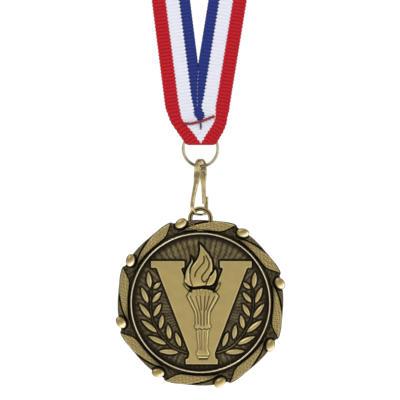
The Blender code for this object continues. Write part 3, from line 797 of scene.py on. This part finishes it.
def shoulder_point(turn):
    """Place, direction along the webbing and outward normal at a turn round the shoulder."""
    inward = Vector((0, 1, 0))
    across = AXIS.cross(inward)
    if across.dot(Vector((-math.sin(STRAND_LEAN), 0, math.cos(STRAND_LEAN)))) < 0:
        across = -across
    centre = HELIX_START + inward * HELIX_RADIUS
    outward = -inward * math.cos(turn) + across * math.sin(turn)
    place = centre + outward * HELIX_RADIUS + AXIS * (turn * HELIX_RADIUS / math.tan(PITCH_ANGLE))
    sideways = inward * math.sin(turn) + across * math.cos(turn)
    tangent = sideways * math.sin(PITCH_ANGLE) + AXIS * math.cos(PITCH_ANGLE)
    return place, tangent, outward


ARC_HALF = POCKET_GAP / 2 + WEBBING_THICKNESS / 2  # radius of the fold's middle layer
ARC_HEIGHT = FOLD_RISE + WEBBING_THICKNESS / 2 + ARC_HALF
SEWN = LAYER_GAP / 2 + WEBBING_THICKNESS / 2


def fold_place(v):
    """Depth, height and outward normal of the layer's middle, for a developed height v."""
    layers = ([ARC_HEIGHT, 0.0052, SEAM_RISE - 0.0008, SEAM_RISE + 0.0008, 0.0142],
              [ARC_HALF, 0.00138, SEWN + 0.00008, SEWN, 0.0])
    end = ARC_HEIGHT - math.pi * ARC_HALF
    if v >= ARC_HEIGHT:
        return -float(np.interp(v, *layers)), v, Vector((0, -1, 0))
    if v > end:
        turn = (ARC_HEIGHT - v) / ARC_HALF
        return (-ARC_HALF * math.cos(turn), ARC_HEIGHT - ARC_HALF * math.sin(turn),
                Vector((0, -math.cos(turn), -math.sin(turn))))
    height = ARC_HEIGHT + end - v
    return float(np.interp(height, *layers)), height, Vector((0, 1, 0))


def strand_rows():
    """Rib lines of the left half down to the crotch: ribs so far, and (place, normal) pairs."""
    lean_sin, lean_cos = math.sin(STRAND_LEAN), math.cos(STRAND_LEAN)
    # the straight part, to its inner corner
    length = (HELIX_START.z - CROTCH_RISE + WEBBING_WIDTH / 2 * lean_sin) / lean_cos
    total = HELIX_LENGTH + length
    count = int(round(total / RIB_PITCH)) * 4
    rows = []
    for index in range(count + 1):
        run = total * index / count
        place, tangent, normal = shoulder_point(math.pi * max(0.0, 1 - run / HELIX_LENGTH))
        side = tangent.cross(normal)
        outer = place - tangent * max(0.0, run - HELIX_LENGTH) - side * (WEBBING_WIDTH / 2)
        rows.append((index / 4, [(outer + side * MM * column, normal) for column in COLUMNS]))
    return rows


def lower_rail():
    """The line where red meets white below the crotch, in developed (x, v) mm."""
    # it leaves the straight strand 6.5 mm from the inner edge
    x = -6.5 * math.cos(STRAND_LEAN)
    v = CROTCH_RISE / MM - 6.5 * math.sin(STRAND_LEAN)
    bend = 9.6
    line = [(x, v), (x + (v - bend) * math.tan(STRAND_LEAN), bend), (-4.35, 8.1), (-3.5, 6.5),
            (-1.9, 4.3), (-0.7, 2.6), (0.0, 1.7), (0.3, 1.0), (0.3, 0.2), (0.3, -1.6), (0.3, -10.2)]
    return [Vector(p) for p in curve_through(line, 10)]


def distances(points):
    """Run along a line at each of its points."""
    runs = [0.0]
    for a, b in zip(points, points[1:]):
        runs.append(runs[-1] + (b - a).length)
    return runs


def point_at(run, runs, points):
    return Vector((float(np.interp(run, runs, [p.x for p in points])),
                   float(np.interp(run, runs, [p.y for p in points]))))


def rib_turn(v):
    return math.radians(float(np.interp(v, [-1.5, 0.3, 1.3, 2.6, 6.0, 8.4, 10.0],
                                        [0.0, 0.0, 12.0, 33.0, 35.0, 14.0, 8.2])))


def red_width(v):
    return float(np.interp(v, [-9, 0.2, 1.2, 2.6, 4.5, 7.0, 8.8, 11.0],
                           [3.78, 3.78, 3.8, 3.5, 3.25, 3.05, 3.1, 3.5]))


def fold_rows(ribs):
    """Rib lines below the crotch, round the fold and up to the tab's end."""
    rail = lower_rail()
    runs = distances(rail)
    quarter = RIB_PITCH / MM / 4
    end_v = (ARC_HEIGHT - math.pi * ARC_HALF - (SEAM_RISE + TAB_END - ARC_HEIGHT)) / MM
    rows = []
    for index in range(1, int(runs[-1] / quarter)):
        place = point_at(index * quarter, runs, rail)
        if place.y < end_v:
            break
        turn = rib_turn(place.y)
        points = []
        for column in COLUMNS:
            off = column - STRIPE_COLUMN
            if off <= 0:
                off *= red_width(place.y) / STRIPE_COLUMN
            flat = place + Vector((math.cos(turn), math.sin(turn))) * off
            y, z, normal = fold_place(flat.y * MM)
            points.append((Vector((flat.x * MM, y, z)), normal))
        rows.append((ribs + index / 4, points))
    return rows


def blue_spread(x, z):
    """How much wider the blue shows where the cloth is gathered above the sewn line."""
    gathered = 1.0 if x > 0 else 0.15
    return gathered * math.exp(-((z - 8.4) / 1.7) ** 2) - 0.2 * math.exp(-((z - 11.2) / 1.6) ** 2)


def build_half(bm, across_layer, along_layer):
    """Left half of the webbing as rows of one closed section."""
    rows = strand_rows()
    rows += fold_rows(rows[-1][0])
    grid = []
    for ribs, points in rows:
        swell = RIB_SHAPE[int(round(ribs * 4)) % 4] * RIB_RISE
        front, back = [], []
        for column, (place, out) in zip(COLUMNS, points):
            thin = 0.62 if column in (COLUMNS[0], COLUMNS[-1]) else 1.0
            half = (WEBBING_THICKNESS / 2 - RIB_RISE * 1.1) * thin + swell
            front.append((place + out * half, column))
            back.append((place - out * half, column))
        # scalloped selvedges
        sideways = (front[-1][0] - front[0][0]).normalized()
        outer = (front[0][0] + back[0][0]) / 2 - sideways * (0.00006 + 1.8 * swell)
        inner = (front[-1][0] + back[-1][0]) / 2 + sideways * (0.00008 + 0.9 * swell)
        made = []
        for place, column in front + [(inner, 10.0)] + back[::-1] + [(outer, 0.0)]:
            vertex = bm.verts.new(place)
            vertex[across_layer], vertex[along_layer] = column, ribs
            made.append(vertex)
        grid.append(made)
    for above, below in zip(grid, grid[1:]):
        for a, b, c, d in zip(above, above[1:] + above[:1], below[1:] + below[:1], below):
            bm.faces.new((a, b, c, d))
    bm.faces.new(grid[-1])


def lateral_shift(z):
    """The ribbon hangs a little to one side: sideways shift by height over the ring."""
    return np.interp(z / MM, [0, 1.6, 5.0, 8.0, 11.7, 39.6, 62.0],
                     [0.10, 0.10, -0.12, -0.60, -0.82, -0.33, 0.0]) * MM


def build_ribbon():
    """Both halves of the webbing, sewn together down the middle of the V."""
    bm = bmesh.new()
    across = bm.verts.layers.float.new("across")
    build_half(bm, across, bm.verts.layers.float.new("along"))
    bmesh.ops.recalc_face_normals(bm, faces=bm.faces)
    bmesh.ops.bisect_plane(bm, geom=[*bm.verts, *bm.edges, *bm.faces], dist=2e-6,
                           plane_co=(0, 0, 0), plane_no=(1, 0, 0), clear_outer=True)
    for vertex in bm.verts:
        if abs(vertex.co.x) < 4e-6:
            vertex.co.x = 0.0
    copy = bmesh.ops.duplicate(bm, geom=[*bm.verts, *bm.edges, *bm.faces])["geom"]
    for item in copy:
        if isinstance(item, bmesh.types.BMVert):
            item.co.x = -item.co.x
    flipped = [item for item in copy if isinstance(item, bmesh.types.BMFace)]
    bmesh.ops.reverse_faces(bm, faces=flipped)
    bmesh.ops.remove_doubles(bm, verts=[v for v in bm.verts if abs(v.co.x) < 4e-6], dist=3e-6)
    groove, groove_half = 0.00013, 0.00035
    for vertex in bm.verts:
        z = vertex.co.z
        if 0.004 < z < 0.016 and 4 < vertex[across] < 9.8:
            vertex[across] += blue_spread(vertex.co.x, z / MM)
        # the fold's front edges stand forward of the ring's wire
        if vertex.co.y < -0.0002 and z < 0.0042:
            forward = smooth_step(3.2, 3.8, abs(vertex.co.x) / MM) * smooth_step(4.2, 2.4, z / MM)
            vertex.co.y -= 0.0008 * float(forward)
        # a shallow groove along the seam of the V
        if abs(vertex.co.x) < groove_half and z < CROTCH_RISE:
            inward = 1 if vertex.co.y < (0 if z > 0.014 else -0.0005) else -1
            vertex.co.y += inward * groove * (1 - abs(vertex.co.x) / groove_half)
    for vertex in bm.verts:
        vertex.co.x += float(lateral_shift(vertex.co.z))
        vertex.co += RING_MIDDLE
    return object_from(bm, "ribbon_webbing", CLOTH)


def front_face(flat):
    """Place and normal on the fold's front, for a developed point."""
    y, z, normal = fold_place(flat.y)
    return RING_MIDDLE + Vector((flat.x, y, z)) + normal * (WEBBING_THICKNESS / 2), normal


def stitches(name, line, spacing, length, thickness, material):
    """Short raised stitches along a developed line on the fold's front."""
    bm = bmesh.new()
    points = [Vector(p) for p in curve_through(line, 12)]
    runs = distances(points)
    ahead = (points[-1] - points[0]).normalized() * 0.00005
    count = int(runs[-1] // spacing) + 1
    for index in range(count):
        centre = (index + 0.5) * runs[-1] / count
        rings = []
        for part in range(9):
            t = part / 8 * 2 - 1
            flat = point_at(min(max(centre + t * length / 2, 0), runs[-1]), runs, points)
            place, normal = front_face(flat)
            side = (front_face(flat + ahead)[0] - place).cross(normal).normalized()
            swell = math.sqrt(max(1 - t * t, 0.03))
            middle = place + normal * (thickness * 0.32 * swell - 0.00004)
            rings.append([bm.verts.new(middle + (side * math.cos(a) + normal * math.sin(a))
                                       * thickness / 2 * swell)
                          for a in (2 * math.pi * k / 8 for k in range(8))])
        for first, second in zip(rings, rings[1:]):
            for k in range(8):
                n = (k + 1) % 8
                bm.faces.new((first[k], first[n], second[n], second[k]))
        bm.faces.new(rings[0][::-1])
        bm.faces.new(rings[-1])
    return object_from(bm, name, material)


# ---------------- build

relief = build_emblem()
border = build_border()
beads = build_beads()
loop = build_loop()
for piece in (relief, border, beads, loop):
    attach(piece, "medal")
    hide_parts("medal")

ring = build_ring()
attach(ring, "ring")
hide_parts("jump_ring")

hook, gate = build_clip()
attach(hook, "clip")
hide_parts("clip_hook")
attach(gate, "gate")
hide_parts("clip_gate")

ribbon = build_ribbon()
fold_thread = stitches("fold_thread", [(-0.0046, 0.0068), (-0.0026, 0.0067), (0.0, 0.0073),
                                       (0.0020, 0.0080), (0.0038, 0.0087)],
                       0.0010, 0.0012, 0.00078, DARK_THREAD)
mitre_thread = stitches("mitre_thread", [(-0.0005, 0.0210), (-0.0008, 0.0170), (-0.00085, 0.0112)],
                        0.00105, 0.00055, 0.00026, PALE_THREAD)
seam_end = stitches("seam_end", [(0.0, 0.0073), (0.00005, 0.0062), (0.0001, 0.0050)],
                    0.0026, 0.0022, 0.00050, BLUE_THREAD)
for piece, node in ((ribbon, "ribbon"), (fold_thread, "fold_stitching"),
                    (mitre_thread, "mitre_stitching"), (seam_end, "mitre_stitching")):
    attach(piece, "ribbon")
    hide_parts(node)


# ---------------- studio

def area_light(name, offset, size, power):
    data = bpy.data.lights.new(name, "AREA")
    data.shape = "RECTANGLE"
    data.size, data.size_y = size
    data.energy = power
    item = bpy.data.objects.new(name, data)
    bpy.context.collection.objects.link(item)
    item.location = MEDAL_MIDDLE + Vector(offset)
    item.rotation_euler = (-Vector(offset)).to_track_quat("-Z", "Y").to_euler()


def studio():
    """Pale floor under the medal, soft surroundings and three area lights."""
    bpy.ops.mesh.primitive_plane_add(size=60, location=(0, 0, MEDAL_MIDDLE.z - 0.088))
    floor = bpy.context.object
    floor.name = "studio_floor"
    floor.data.materials.append(new_material("studio_floor").finish(
        Base_Color=(0.92, 0.92, 0.92, 1), Roughness=0.9, Specular_IOR_Level=0.1,
        Emission_Color=(1, 1, 1, 1), Emission_Strength=0.35))

    world = Nodes(bpy.data.worlds.new("studio"), "Background")
    bpy.context.scene.world = world.owner
    # bright behind the medal, softer in front of it
    depth = world.add("SeparateXYZ", world.add("TexCoord", output="Generated"), output="Y")
    tones = world.ramp(world.add("MapRange", depth, From_Min=-1),
                       [(0.0, grey(0.70)), (0.3, grey(0.62)), (0.62, grey(0.9)), (0.75, grey(1)),
                        (1.0, grey(1))])
    world.finish(Color=tones, Strength=1.02)

    area_light("key", (-0.35, -0.5, 0.55), (0.35, 0.35), 3.0)
    area_light("fill", (0.6, -0.45, 0.15), (0.5, 0.5), 1.6)
    area_light("top", (0.05, 0.1, 0.8), (0.6, 0.3), 3.0)


def camera():
    """Level camera straight in front; wide is what it takes in across, at its distance."""
    data = bpy.data.cameras.new("camera")
    item = bpy.data.objects.new("camera", data)
    bpy.context.collection.objects.link(item)
    bpy.context.scene.camera = item
    distance, wide = 0.8, 0.1064
    data.sensor_width = 36
    data.lens = 36 * distance / wide
    data.clip_start, data.clip_end = 0.01, 100
    aim = MEDAL_MIDDLE + Vector((-0.00013, -0.0012, 0.02737))
    item.location = aim + Vector((0, -distance, 0))
    item.rotation_euler = (math.pi / 2, 0, 0)


studio()
camera()
bpy.context.scene.view_settings.view_transform = "Standard"
bpy.context.view_layer.update()
